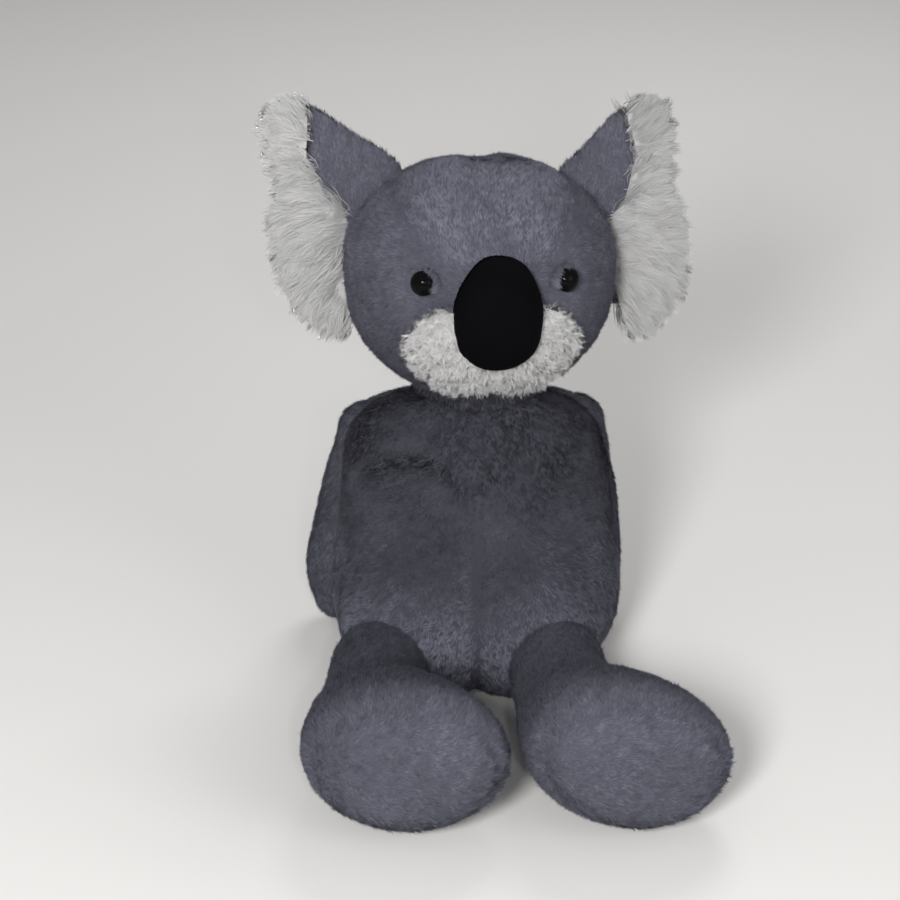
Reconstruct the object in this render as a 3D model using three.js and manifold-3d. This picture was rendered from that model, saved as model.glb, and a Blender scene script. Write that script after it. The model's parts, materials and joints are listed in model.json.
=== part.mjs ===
// A sitting plush koala. Millimetres, +Z up, the face looks along -Y, and left and right are the toy's own.
import * as THREE from 'three';
import { mergeVertices } from 'three/addons/utils/BufferGeometryUtils.js';
import Module from 'manifold-3d';

const wasm = await Module();
wasm.setup();

// Cloth, seats and running gaps
const skinThickness = 3;
const seatGap = 0.3;
const flatDepth = 0.5;
const overrun = 40;
const ballSides = 18;
const innerSides = 12;
const innerFineness = 0.5;
const openingShare = 0.45;

// Torso: a bean that leans back, with a pouch of pellets in its base
const torso = {
  length: 106,
  halfWidth: 59,
  halfDepth: 48,
  lean: THREE.MathUtils.degToRad(14),
  widthShares: [0.98, 1, 0.97, 0.93, 0.91, 0.95],
  depthShares: [0.93, 1, 0.98, 0.88, 0.76, 0.67],
  riseShares: [0, 0, 0, -0.01, -0.06, -0.12],
  roundStart: 5,
  roundEnd: 3.1,
  rings: 16,
  sides: 26,
};
const pouchHeight = 26;

// Neck: a ball of stuffing between torso and head, drawn in by one turn of thread
const neckHeight = 101;
const neckAside = 1;
const neckBallRadius = 26;
const neckBallSides = 24;
const threadRadius = 0.9;
const threadSides = 5;
const threadTurn = 24;

// Head
const head = {
  length: 96,
  halfWidth: 53.5,
  halfDepth: 47,
  widthShares: [0.98, 1, 1, 0.98],
  depthShares: [0.97, 1, 1, 0.96],
  roundStart: 2.3,
  roundEnd: 2.3,
  rings: 16,
  sides: 26,
};
const headAboveNeck = 47;
const headTurn = THREE.MathUtils.degToRad(8);
const headTilt = THREE.MathUtils.degToRad(5);
const neckTurns = [-35, -17, 0, 17, 35].map(THREE.MathUtils.degToRad);
const neckNods = [-8, 0, 7, 14].map(THREE.MathUtils.degToRad);
const neckClear = 1.2;

// Face
const nose = { halfWidth: 16.5, halfHeight: 22, depth: 12, below: 6.5, wall: 2, sides: 18, rings: 8 };
const muzzle = {
  halfWidth: 33, below: 47, lobeAside: 20, lobeBelow: 6, dip: 6, pad: 4, behind: 8, points: 28,
};
const muzzleShares = { chin: 0.75, cheek: 0.4 };
const eye = {
  radius: 4.8, dome: 4, aside: 27.5, above: 4.5, sunk: 1.2, behindCloth: 3, sides: 16, rings: 5,
  squint: THREE.MathUtils.degToRad(28),
};
const shank = { radius: 2, length: 12 };
const washer = { radius: 7, thickness: 1.5, play: 0.3 };

// Ears: a grey back panel and a long-haired front panel on one straight root
const ear = {
  reach: 55, height: 76, backThickness: 6, furThickness: 10, points: 30, clear: 0.8,
  flex: THREE.MathUtils.degToRad(20),
};
const edgeShare = 0.3;
const flexShares = [-1, -0.5, 0, 0.5, 1];
const earBackShares = [
  [-0.06, 0.44], [0.37, 0.5], [0.75, 0.52], [0.84, 0.37], [0.56, 0.04],
  [0.51, -0.13], [0.24, -0.32], [-0.09, -0.34], [-0.22, -0.13], [-0.22, 0.2],
];
const earFurShares = [
  [0.65, 0.35], [0.75, 0.52], [0.95, 0.52], [1, 0.37], [0.71, 0.04], [0.69, -0.11],
  [0.35, -0.41], [0.15, -0.47], [-0.2, -0.46], [-0.1, -0.2], [0.15, 0.1], [0.35, 0.16],
];
const earBehind = 10;
const earSweep = THREE.MathUtils.degToRad(6);

// Arms
const arm = {
  length: 80,
  halfWidth: 18,
  halfDepth: 18.5,
  widthShares: [0.74, 0.86, 0.96, 1, 0.97],
  depthShares: [0.72, 0.86, 0.96, 1, 0.96],
  roundStart: 12,
  roundEnd: 2.4,
  rings: 11,
  sides: 16,
};
const shoulderRadius = 13.5;
const shoulderHeight = 79;
const armRaises = [0, 24, 48, 72, 95].map(THREE.MathUtils.degToRad);

// Legs: a tube that widens into a foot whose toe lies to the toy's left
const leg = {
  length: 104,
  halfWidth: 39,
  halfDepth: 29.5,
  widthShares: [0.43, 0.47, 0.58, 0.84, 1, 0.98],
  depthShares: [0.57, 0.6, 0.7, 0.88, 1, 0.98],
  sideShares: [0, 0, 0.07, 0.24, 0.34, 0.36],
  riseShares: [0, 0.02, 0.08, 0.22, 0.32, 0.32],
  roundStart: 12,
  roundEnd: 4.5,
  rings: 13,
  sides: 20,
  solePad: 7,
};
const hipRadius = 17;
const hipHeight = 19.5;
const hipForward = 47;

const sides = [
  {
    name: 'right',
    sign: -1,
    hipAside: 37,
    legSplay: THREE.MathUtils.degToRad(2),
    footRoll: 0,
    shoulderAside: 44,
    shoulderBehind: 19,
    armOut: THREE.MathUtils.degToRad(10),
    armBack: THREE.MathUtils.degToRad(-12),
    earAside: 46,
    earAbove: 12,
    earTilt: THREE.MathUtils.degToRad(26),
  },
  {
    name: 'left',
    sign: 1,
    hipAside: 29.5,
    legSplay: THREE.MathUtils.degToRad(6),
    footRoll: THREE.MathUtils.degToRad(-14),
    shoulderAside: 40,
    shoulderBehind: 27,
    armOut: THREE.MathUtils.degToRad(4),
    armBack: THREE.MathUtils.degToRad(-12),
    earAside: 50,
    earAbove: 6,
    earTilt: THREE.MathUtils.degToRad(37),
  },
];

const colours = {
  grey: { color: 0x5f5d69, roughness: 0.95, metalness: 0 },
  white: { color: 0xe9e7e2, roughness: 0.95, metalness: 0 },
  black: { color: 0x0b0b0c, roughness: 0.9, metalness: 0 },
  gloss: { color: 0x050505, roughness: 0.08, metalness: 0 },
  fibre: { color: 0xf1efe9, roughness: 1, metalness: 0 },
  pellet: { color: 0xd9d5c8, roughness: 0.8, metalness: 0 },
  nylon: { color: 0xf4f4f0, roughness: 0.5, metalness: 0 },
  thread: { color: 0x4b4a54, roughness: 0.8, metalness: 0 },
};

// A value from a short table of shares, spaced evenly along a form
function shareAt(shares, along) {
  const points = shares.map((share, i) => new THREE.Vector2(i / (shares.length - 1), share));
  return new THREE.SplineCurve(points).getPoint(along).y;
}

// A closed stuffed form along +Z. grow adds to it all round, and a fineness under 1 gives it fewer faces
function softForm(form, grow = 0, fineness = 1) {
  const rings = Math.max(4, Math.round(form.rings * fineness));
  const around = Math.max(8, 2 * Math.round((form.sides * fineness) / 2));
  const positions = [];
  const index = [];
  for (let i = 0; i <= rings; i += 1) {
    const reach = -Math.cos((Math.PI * i) / rings);
    const along = (reach + 1) / 2;
    const power = reach < 0 ? form.roundStart : form.roundEnd;
    const closing = Math.max(0, 1 - Math.abs(reach) ** power) ** (1 / power);
    const wide = (form.halfWidth * shareAt(form.widthShares ?? [1, 1], along) + grow) * closing;
    const deep = (form.halfDepth * shareAt(form.depthShares ?? [1, 1], along) + grow) * closing;
    const aside = form.halfWidth * shareAt(form.sideShares ?? [0, 0], along);
    const risen = form.halfDepth * shareAt(form.riseShares ?? [0, 0], along);
    const height = along * form.length + reach * grow;
    const back = height * Math.tan(form.lean ?? 0);
    const roll = (form.roll ?? 0) * along;
    const count = i === 0 || i === rings ? 1 : around;
    for (let j = 0; j < count; j += 1) {
      const turn = (2 * Math.PI * j) / around;
      const x = wide * Math.cos(turn);
      const y = deep * Math.sin(turn);
      positions.push(
        aside + x * Math.cos(roll) - y * Math.sin(roll),
        risen + back + x * Math.sin(roll) + y * Math.cos(roll),
        height,
      );
    }
  }
  const last = positions.length / 3 - 1;
  const at = (ring, j) => 1 + (ring - 1) * around + (j % around);
  for (let j = 0; j < around; j += 1) {
    index.push(0, at(1, j + 1), at(1, j));
    index.push(last, at(rings - 1, j), at(rings - 1, j + 1));
    for (let i = 1; i < rings - 1; i += 1) {
      index.push(at(i, j), at(i, j + 1), at(i + 1, j + 1));
      index.push(at(i, j), at(i + 1, j + 1), at(i + 1, j));
    }
  }
  const geometry = new THREE.BufferGeometry();
  geometry.setAttribute('position', new THREE.Float32BufferAttribute(positions, 3));
  geometry.setIndex(index);
  return geometry;
}

function solidOf(geometry) {
  const bare = geometry.clone();
  bare.deleteAttribute('normal');
  bare.deleteAttribute('uv');
  const merged = mergeVertices(bare);
  return new wasm.Manifold(new wasm.Mesh({
    numProp: 3,
    vertProperties: new Float32Array(merged.attributes.position.array),
    triVerts: new Uint32Array(merged.index.array),
  }));
}

function geometryOf(solid) {
  const mesh = solid.getMesh();
  const geometry = new THREE.BufferGeometry();
  geometry.setAttribute('position', new THREE.BufferAttribute(new Float32Array(mesh.vertProperties), 3));
  geometry.setIndex(new THREE.BufferAttribute(new Uint32Array(mesh.triVerts), 1));
  return geometry;
}

// A solid of one group, written in the frame of another
function across(solid, from, to) {
  const matrix = to.matrixWorld.clone().invert().multiply(from.matrixWorld);
  return solid.transform(matrix.elements);
}

// A solid of one group as it is after that group has turned about its own axes
function bentIn(solid, xTurn, zTurn) {
  const bent = new THREE.Group();
  bent.rotation.set(xTurn, 0, zTurn, 'ZYX');
  bent.updateMatrixWorld(true);
  return solid.transform(bent.matrixWorld.elements);
}

function ball(radius, sidesAround = ballSides) {
  return solidOf(new THREE.SphereGeometry(radius, sidesAround, sidesAround / 2));
}

// The socket of a ball: its flat facets clear the ball's corners at every angle
function socket(radius, sidesAround = ballSides) {
  return ball((radius + seatGap) / Math.cos(Math.PI / sidesAround) ** 2, sidesAround);
}

// A slab that removes all that lies on one side of a plane across Z
function halfSpace(height, below) {
  const size = overrun * 10;
  const slab = new THREE.BoxGeometry(size, size, size);
  slab.translate(0, 0, height + (below ? -size : size) / 2);
  return solidOf(slab);
}

function meshOf(name, solid, look) {
  const material = new THREE.MeshStandardMaterial(colours[look]);
  const mesh = new THREE.Mesh(geometryOf(solid), material);
  mesh.name = name;
  return mesh;
}

// The groups that the solids are made in
const koala = new THREE.Group();
const torsoGroup = new THREE.Group();
const neckGroup = new THREE.Group();
const headGroup = new THREE.Group();
neckGroup.position.set(neckAside, neckHeight * Math.tan(torso.lean), neckHeight);
neckGroup.rotation.x = -torso.lean;
headGroup.position.z = headAboveNeck;
headGroup.rotation.set(headTilt, 0, headTurn);
neckGroup.add(headGroup);
koala.add(torsoGroup, neckGroup);

for (const side of sides) {
  const { sign } = side;
  side.arm = new THREE.Group();
  side.arm.position.set(
    sign * side.shoulderAside,
    shoulderHeight * Math.tan(torso.lean) + side.shoulderBehind,
    shoulderHeight,
  );
  side.arm.rotation.set(Math.PI + side.armBack, 0, 0);
  side.arm.rotateY(sign * side.armOut);
  side.leg = new THREE.Group();
  side.leg.position.set(sign * side.hipAside, -hipForward, hipHeight);
  side.leg.rotation.set(Math.PI / 2, 0, 0);
  side.leg.rotateY(sign * side.legSplay);
  side.ear = new THREE.Group();
  side.ear.position.set(sign * side.earAside, earBehind, side.earAbove);
  side.ear.rotation.set(0, -sign * side.earTilt, 0);
  side.ear.rotateZ(sign * earSweep);
  headGroup.add(side.ear);
  koala.add(side.arm, side.leg);
}
koala.updateMatrixWorld(true);

// Neck
const neckBall = ball(neckBallRadius, neckBallSides);
const neckSocket = socket(neckBallRadius, neckBallSides);
const threadRing = neckBallRadius * Math.cos(Math.PI / neckBallSides) - threadRadius;
function threadForm(grow) {
  return solidOf(new THREE.TorusGeometry(threadRing, threadRadius + grow, threadSides, threadTurn));
}
neckGroup.add(meshOf('neck_stuffing', neckBall.subtract(threadForm(seatGap)), 'fibre'));
neckGroup.add(meshOf('neck_thread', threadForm(0), 'thread'));

// The head's form is centred on its own group
function headForm(grow, fineness) {
  return solidOf(softForm(head, grow, fineness)).translate([0, 0, -head.length / 2]);
}

// Head: a point on its front, given across and up
function onFace(aside, above, depth) {
  const reach = 1 - (Math.abs(aside) / head.halfWidth) ** 2 - (Math.abs(above) / (head.length / 2)) ** 2;
  return new THREE.Vector3(aside, -head.halfDepth * Math.sqrt(reach) - depth, above);
}

const headOuter = headForm(0);
let headSkin = headOuter.subtract(headForm(-skinThickness, innerFineness));
let headStuffing = headForm(-skinThickness - seatGap, innerFineness);
const neckPocket = across(neckSocket, neckGroup, headGroup);
headSkin = headSkin.subtract(neckPocket);
headStuffing = headStuffing.subtract(neckPocket);

// Nose: a stuffed oval of flat black cloth, open at its back
function noseForm(grow) {
  const oval = new THREE.SphereGeometry(1, nose.sides, nose.rings);
  oval.scale(nose.halfWidth + grow, nose.depth + grow, nose.halfHeight + grow);
  const place = onFace(0, -nose.below, 0);
  return solidOf(oval).translate([place.x, place.y, place.z]);
}
const headGrown = headForm(seatGap);
const noseCover = noseForm(0).subtract(noseForm(-nose.wall)).subtract(headGrown);
const noseStuffing = noseForm(-nose.wall - seatGap).subtract(headGrown);
headGroup.add(meshOf('nose_cover', noseCover, 'black'));
headGroup.add(meshOf('nose_stuffing', noseStuffing, 'fibre'));

// Muzzle: a padded white panel that runs round the lower half of the nose
const muzzleOutline = new THREE.Shape(new THREE.SplineCurve([
  new THREE.Vector2(0, -muzzle.below),
  new THREE.Vector2(muzzle.halfWidth * muzzleShares.chin, -muzzle.below * muzzleShares.chin),
  new THREE.Vector2(muzzle.halfWidth, -muzzle.below * muzzleShares.cheek),
  new THREE.Vector2(muzzle.lobeAside, -muzzle.lobeBelow),
  new THREE.Vector2(0, -muzzle.lobeBelow - muzzle.dip),
  new THREE.Vector2(-muzzle.lobeAside, -muzzle.lobeBelow),
  new THREE.Vector2(-muzzle.halfWidth, -muzzle.below * muzzleShares.cheek),
  new THREE.Vector2(-muzzle.halfWidth * muzzleShares.chin, -muzzle.below * muzzleShares.chin),
  new THREE.Vector2(0, -muzzle.below),
]).getPoints(muzzle.points));
const muzzlePrism = new THREE.ExtrudeGeometry(muzzleOutline, {
  depth: head.halfDepth + muzzle.pad + overrun, bevelEnabled: false,
});
muzzlePrism.rotateX(Math.PI / 2);
muzzlePrism.translate(0, -muzzle.behind, 0);
const muzzlePatch = headForm(muzzle.pad).intersect(solidOf(muzzlePrism))
  .subtract(headGrown).subtract(noseForm(seatGap)).subtract(neckPocket);
headGroup.add(meshOf('muzzle_patch', muzzlePatch, 'white'));

// Torso: a skin open at the neck and at each limb, stuffing above, and a pellet pouch that fills the seat
function torsoForm(grow, fineness) {
  return solidOf(softForm(torso, grow, fineness)).translate([0, 0, -flatDepth]);
}
const floorCut = halfSpace(0, true);
const torsoFilling = torsoForm(-skinThickness - seatGap, innerFineness);
let torsoSkin = torsoForm(0).subtract(floorCut).subtract(torsoForm(-skinThickness, innerFineness));
let torsoStuffing = torsoFilling.subtract(halfSpace(pouchHeight + seatGap, true));
let pelletPouch = torsoFilling.subtract(halfSpace(pouchHeight, false));
const sockets = [across(neckSocket, neckGroup, torsoGroup)];
for (const part of [headForm(neckClear), muzzlePatch]) {
  const atNeck = across(part, headGroup, neckGroup);
  for (const turn of neckTurns) {
    for (const nod of neckNods) {
      sockets.push(across(bentIn(atNeck, nod, turn), neckGroup, torsoGroup));
    }
  }
}
for (const side of sides) {
  sockets.push(across(socket(shoulderRadius), side.arm, torsoGroup));
  sockets.push(across(socket(hipRadius), side.leg, torsoGroup));
}
for (const pocket of sockets) {
  torsoSkin = torsoSkin.subtract(pocket);
  torsoStuffing = torsoStuffing.subtract(pocket);
  pelletPouch = pelletPouch.subtract(pocket);
}
torsoGroup.add(meshOf('torso_skin', torsoSkin, 'grey'));
torsoGroup.add(meshOf('torso_stuffing', torsoStuffing, 'fibre'));
torsoGroup.add(meshOf('pellet_pouch', pelletPouch, 'pellet'));

// Eyes: a glossy dome on a shank that a washer holds behind the cloth
const domeProfile = new THREE.EllipseCurve(0, 0, eye.radius, eye.dome, 0, Math.PI / 2).getPoints(eye.rings);
domeProfile.unshift(new THREE.Vector2(shank.radius, 0));
domeProfile.unshift(new THREE.Vector2(shank.radius, -shank.length));
domeProfile.unshift(new THREE.Vector2(0, -shank.length));
const eyeGeometry = new THREE.LatheGeometry(domeProfile, eye.sides);
const washerInner = shank.radius + washer.play;
const washerProfile = [
  new THREE.Vector2(washerInner, 0),
  new THREE.Vector2(washer.radius, 0),
  new THREE.Vector2(washer.radius, washer.thickness),
  new THREE.Vector2(washerInner, washer.thickness),
  new THREE.Vector2(washerInner, 0),
];
const washerGeometry = new THREE.LatheGeometry(washerProfile, eye.sides);
const eyeBed = new THREE.CylinderGeometry(eye.radius + seatGap, eye.radius + seatGap, eye.dome + overrun, eye.sides);
eyeBed.translate(0, (eye.dome + overrun) / 2 - seatGap, 0);
const shankHole = new THREE.CylinderGeometry(
  washerInner, washerInner, shank.length + seatGap + eye.dome, eye.sides,
);
shankHole.translate(0, -(shank.length + seatGap + eye.dome) / 2 + eye.dome, 0);
const washerDrop = skinThickness + 2 * seatGap + washer.thickness + eye.behindCloth;
const washerBed = new THREE.CylinderGeometry(
  washer.radius + seatGap, washer.radius + seatGap, washer.thickness + 2 * seatGap + eye.behindCloth, eye.sides,
);
washerBed.translate(0, (washer.thickness + 2 * seatGap + eye.behindCloth) / 2 - washerDrop - seatGap, 0);
for (const side of sides) {
  const holder = new THREE.Group();
  holder.position.copy(onFace(side.sign * eye.aside, eye.above, -eye.sunk));
  holder.rotation.z = Math.PI + side.sign * eye.squint;
  headGroup.add(holder);
  holder.updateMatrixWorld(true);
  for (const cutter of [eyeBed, shankHole]) {
    headSkin = headSkin.subtract(across(solidOf(cutter), holder, headGroup));
  }
  for (const cutter of [shankHole, washerBed]) {
    headStuffing = headStuffing.subtract(across(solidOf(cutter), holder, headGroup));
  }
  holder.add(meshOf(`${side.name}_eye`, solidOf(eyeGeometry), 'gloss'));
  const ring = meshOf(`${side.name}_eye_washer`, solidOf(washerGeometry), 'nylon');
  ring.position.y = -washerDrop;
  holder.add(ring);
}
headGroup.add(meshOf('head_skin', headSkin, 'grey'));
headGroup.add(meshOf('head_stuffing', headStuffing, 'fibre'));

// A cloth panel with rounded edges from an outline given as shares of reach and height
function panel(shares, reach, height, thickness) {
  const points = shares.map(([out, up]) => new THREE.Vector2(out * reach, up * height));
  points.push(points[0]);
  const outline = new THREE.Shape(new THREE.SplineCurve(points).getPoints(ear.points));
  const edge = thickness * edgeShare;
  const slab = new THREE.ExtrudeGeometry(outline, {
    depth: thickness - 2 * edge, bevelThickness: edge, bevelSize: edge, bevelOffset: -edge, bevelSegments: 2,
  });
  slab.rotateX(Math.PI / 2);
  slab.translate(0, thickness - edge, 0);
  return solidOf(slab);
}

// Ears: X runs out from the root, Z along it, and the white panel lies in front of the grey one
for (const side of sides) {
  const headSweep = [];
  for (const share of flexShares) {
    headSweep.push(bentIn(across(headForm(ear.clear), headGroup, side.ear), 0, share * ear.flex));
  }
  let back = panel(earBackShares, side.sign * ear.reach, ear.height, ear.backThickness);
  let fur = panel(earFurShares, side.sign * ear.reach, ear.height, ear.furThickness)
    .translate([0, -ear.furThickness - seatGap, 0]);
  for (const solid of headSweep) {
    back = back.subtract(solid);
    fur = fur.subtract(solid);
  }
  side.ear.add(meshOf(`${side.name}_ear_back`, back, 'grey'));
  side.ear.add(meshOf(`${side.name}_ear_fur`, fur, 'white'));
}

// The round opening through which a limb is stuffed before its root is sewn on
function rootOpening(radius) {
  const wide = radius * openingShare;
  const hole = new THREE.CylinderGeometry(wide, wide, radius, innerSides);
  hole.rotateX(Math.PI / 2);
  hole.translate(0, 0, -radius);
  return solidOf(hole);
}

// The form of an arm, less the torso as it lies against the arm at each height to which the arm is raised
function armBeside(side, armGrow, torsoGrow, fineness) {
  let form = solidOf(softForm(arm, armGrow, fineness));
  for (const raise of armRaises) {
    const raised = new THREE.Group();
    raised.position.copy(side.arm.position);
    raised.rotation.copy(side.arm.rotation);
    raised.rotateOnWorldAxis(new THREE.Vector3(0, 1, 0), -side.sign * raise);
    raised.updateMatrixWorld(true);
    form = form.subtract(across(torsoForm(torsoGrow, fineness), torsoGroup, raised));
  }
  return form;
}

// Arms: a skin closed round its stuffing but for the opening that is sewn to the torso
for (const side of sides) {
  const opening = rootOpening(shoulderRadius);
  const outer = armBeside(side, 0, seatGap).add(ball(shoulderRadius));
  const hollow = armBeside(side, -skinThickness, seatGap + skinThickness, innerFineness)
    .add(ball(shoulderRadius - skinThickness, innerSides));
  const filling = armBeside(side, -skinThickness - seatGap, 2 * seatGap + skinThickness, innerFineness)
    .add(ball(shoulderRadius - skinThickness - seatGap, innerSides));
  side.arm.add(meshOf(`${side.name}_arm_skin`, outer.subtract(hollow).subtract(opening), 'grey'));
  side.arm.add(meshOf(`${side.name}_arm_stuffing`, filling, 'fibre'));
}

// Legs: skin open at the hip and at the sole, where a padded panel closes it
for (const side of sides) {
  const legShape = { ...leg, roll: side.footRoll };
  const legForm = (grow, fineness) => solidOf(softForm(legShape, grow, fineness));
  const floor = across(floorCut, torsoGroup, side.leg);
  const outer = legForm(0).add(ball(hipRadius)).subtract(floor);
  const opening = rootOpening(hipRadius);
  const soleAt = leg.length - leg.solePad;
  const hollow = legForm(-skinThickness, innerFineness).add(ball(hipRadius - skinThickness, innerSides))
    .add(legForm(-skinThickness, innerFineness).translate([0, 0, leg.solePad]));
  const filling = legForm(-skinThickness - seatGap, innerFineness)
    .add(ball(hipRadius - skinThickness - seatGap, innerSides));
  const skin = outer.subtract(hollow).subtract(opening).subtract(halfSpace(soleAt, false));
  const sole = legForm(0).subtract(floor).subtract(halfSpace(soleAt + seatGap, true));
  side.leg.add(meshOf(`${side.name}_leg_skin`, skin, 'grey'));
  side.leg.add(meshOf(`${side.name}_leg_stuffing`, filling.subtract(halfSpace(soleAt, false)), 'fibre'));
  side.leg.add(meshOf(`${side.name}_sole`, sole, 'grey'));
}

// The origin is the middle of the box at the floor
const box = new THREE.Box3().setFromObject(koala, true);
koala.position.set(-(box.min.x + box.max.x) / 2, -(box.min.y + box.max.y) / 2, -box.min.z);

export default koala;
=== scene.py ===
import json
import math

import bpy
import numpy as np
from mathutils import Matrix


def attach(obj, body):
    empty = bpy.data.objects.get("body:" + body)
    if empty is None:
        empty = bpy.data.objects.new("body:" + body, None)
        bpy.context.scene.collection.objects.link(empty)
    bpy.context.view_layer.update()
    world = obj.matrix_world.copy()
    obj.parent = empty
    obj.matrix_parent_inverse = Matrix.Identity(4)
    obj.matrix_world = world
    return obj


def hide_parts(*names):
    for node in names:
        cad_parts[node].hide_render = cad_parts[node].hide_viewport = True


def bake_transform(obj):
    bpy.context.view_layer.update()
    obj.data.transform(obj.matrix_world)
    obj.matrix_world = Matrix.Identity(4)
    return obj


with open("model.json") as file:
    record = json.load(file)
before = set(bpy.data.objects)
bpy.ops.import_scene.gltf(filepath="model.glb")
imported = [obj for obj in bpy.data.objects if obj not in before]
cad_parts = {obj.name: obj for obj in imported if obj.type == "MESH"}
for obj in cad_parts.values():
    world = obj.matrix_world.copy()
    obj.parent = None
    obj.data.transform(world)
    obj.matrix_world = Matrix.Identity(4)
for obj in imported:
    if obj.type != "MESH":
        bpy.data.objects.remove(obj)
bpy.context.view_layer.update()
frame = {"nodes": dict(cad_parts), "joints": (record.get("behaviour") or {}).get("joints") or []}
joints = {joint["name"]: joint for joint in frame["joints"]}
print("frame loaded:", len(frame["nodes"]), "nodes")

lean = math.radians(14)  # the toy sits leaning back
pileInset = 0.0018  # how far the cloth lies inside the outer limit of the fur
deepestPress = 0.00135  # the cloth goes no further in, so that it stays outside the filling
lowestCloth, lowestBlade = 0.0008, 0.0002  # over the floor
underside = -0.93  # no pile grows where the height of the surface's direction is less
limbOverlap = 0.006  # the pile of a limb ends this far inside the torso's form
sides = {"right": -1, "left": 1}  # the toy's own sides, and the sign of X on each


# Places: a turn and an origin, for pieces that are worked out in their own frame

def turned(*angles):
    # turns about X, Y and Z, one after another
    turn = np.eye(3)
    for axis, angle in enumerate(angles):
        j, k = (axis + 1) % 3, (axis + 2) % 3
        about = np.eye(3)
        about[j, j] = about[k, k] = math.cos(angle)
        about[k, j], about[j, k] = math.sin(angle), -math.sin(angle)
        turn = turn @ about
    return turn


def toWorld(points, place):
    return points @ place["turn"].T + place["at"]


def toLocal(points, place):
    return (points - place["at"]) @ place["turn"]


def anchorOf(joint):
    return np.array(joints[joint]["pos_m"], float)


neckLook = {"aside": 0.001, "overSeat": 0.101, "underHead": 0.047, "radius": 0.0266}
seatHeight = 0.0005
neck = anchorOf("neck_turn")
worldPlace = {"turn": np.eye(3), "at": np.zeros(3)}
torsoPlace = {"turn": np.eye(3), "at": neck - [
    neckLook["aside"], neckLook["overSeat"] * math.tan(lean), neckLook["overSeat"]] - [0, 0, seatHeight]}
headPlace = {"turn": turned(-lean) @ turned(math.radians(5), 0, math.radians(8)),
             "at": neck + neckLook["underHead"] * (turned(-lean) @ [0, 0, 1])}


# Numbers shared by many forms

def cubicAt(before, start, end, after, part):
    # a smooth curve from start to end, whose slope at each is half the step between its two neighbours
    rise, fall = (end - before) / 2, (after - start) / 2
    return (((2 * start - 2 * end + rise + fall) * part + (3 * end - 3 * start - 2 * rise - fall)) * part
            + rise) * part + start


def shareAt(shares, along):
    # the share at a place between 0 and 1, on a smooth curve through evenly spaced shares
    shares = np.asarray(shares, float)
    last = len(shares) - 1
    spot = np.clip(along, 0, 1) * last
    low = np.floor(spot).astype(int)
    return cubicAt(*(shares[np.clip(low + k, 0, last)] for k in (-1, 0, 1, 2)), spot - low)


def unit(vectors):
    return vectors / np.maximum(np.linalg.norm(vectors, axis=-1, keepdims=True), 1e-12)


def columns(*parts):
    return np.stack(np.broadcast_arrays(*parts), axis=-1)


def farFrom(points, place):
    return np.linalg.norm(points - place, axis=1)


def bump(away, width):
    # 1 on a line and falling off beside it: exp(-(away / width)^2)
    return np.exp(-(away / width) ** 2)


def ramp(past, span):
    # 0 before a place, 1 once the span is past
    return np.clip(past / span, 0, 1)


def ripple(points, seed, size, waves=9):
    # a soft unevenness from -1 to 1: the mean of sines in random directions, about one wave per size
    rng = np.random.default_rng(seed)
    across = unit(rng.normal(size=(waves, 3))) * (2 * math.pi / size) * rng.uniform(0.6, 1.3, (waves, 1))
    return np.clip(np.sin(points @ across.T + rng.uniform(0, 2 * math.pi, waves)).mean(axis=1) * 1.8, -1, 1)


def stirred(points, seed, size):
    # a soft unevenness of a direction
    return columns(*(ripple(points, seed + k, size) for k in range(3)))


def evenly(value):
    # the same value at every root
    return lambda spots: np.full(len(spots), value)


def straight(way):
    # the same nap at every root
    return lambda spots: np.broadcast_to(way, spots.shape)


def nearLine(points, line):
    # the distance from each point to a line of corner points, and how far along the line its nearest place is
    line = np.asarray(line, float)
    best = np.full(len(points), np.inf)
    along = np.zeros(len(points))
    for k in range(len(line) - 1):
        step = line[k + 1] - line[k]
        part = np.clip((points - line[k]) @ step / (step @ step), 0, 1)
        far = np.linalg.norm(points - line[k] - part[:, None] * step, axis=1)
        closer = far < best
        best = np.where(closer, far, best)
        along = np.where(closer, (k + part) / (len(line) - 1), along)
    return best, along


# Surfaces

def sectionAt(form, along):
    wide = form["halfWidth"] * shareAt(form["widthShares"], along)
    deep = form["halfDepth"] * shareAt(form["depthShares"], along)
    aside = form["halfWidth"] * shareAt(form.get("sideShares", [0, 0]), along)
    risen = form["halfDepth"] * shareAt(form.get("riseShares", [0, 0]), along)
    return wide, deep, aside, risen


def closingAt(form, reach):
    # the rounding of both ends: (1 - |reach|^p)^(1/p)
    power = np.where(reach < 0, form["roundStart"], form["roundEnd"])
    return np.maximum(0, 1 - np.abs(reach) ** power) ** (1 / power)


def ringFaces(rings, sides):
    # the faces of a stack of rings closed by one point at each end
    j = np.arange(sides)
    k = (j + 1) % sides
    last = 1 + (rings - 1) * sides
    start = columns(0, 1 + k, 1 + j)
    end = columns(last, last - sides + j, last - sides + k)
    base = 1 + np.arange(rings - 2)[:, None] * sides
    quads = columns(base + j, base + k, base + sides + k, base + sides + j).reshape(-1, 4)
    return quads, np.concatenate([start, end])


def ringSkin(wide, deep, aside, risen, height, roll, sides):
    # a stack of ellipses, each with its own size, place and roll, closed by one point at each end
    turn = 2 * np.pi * np.arange(sides) / sides
    x, y = wide[:, None] * np.cos(turn), deep[:, None] * np.sin(turn)
    roll = roll[:, None]
    grid = columns(aside[:, None] + x * np.cos(roll) - y * np.sin(roll),
                   risen[:, None] + x * np.sin(roll) + y * np.cos(roll), height[:, None])
    points = np.concatenate([grid[0, :1], grid[1:-1].reshape(-1, 3), grid[-1, :1]])
    return skinOf(points, *ringFaces(len(grid) - 1, sides))


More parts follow.
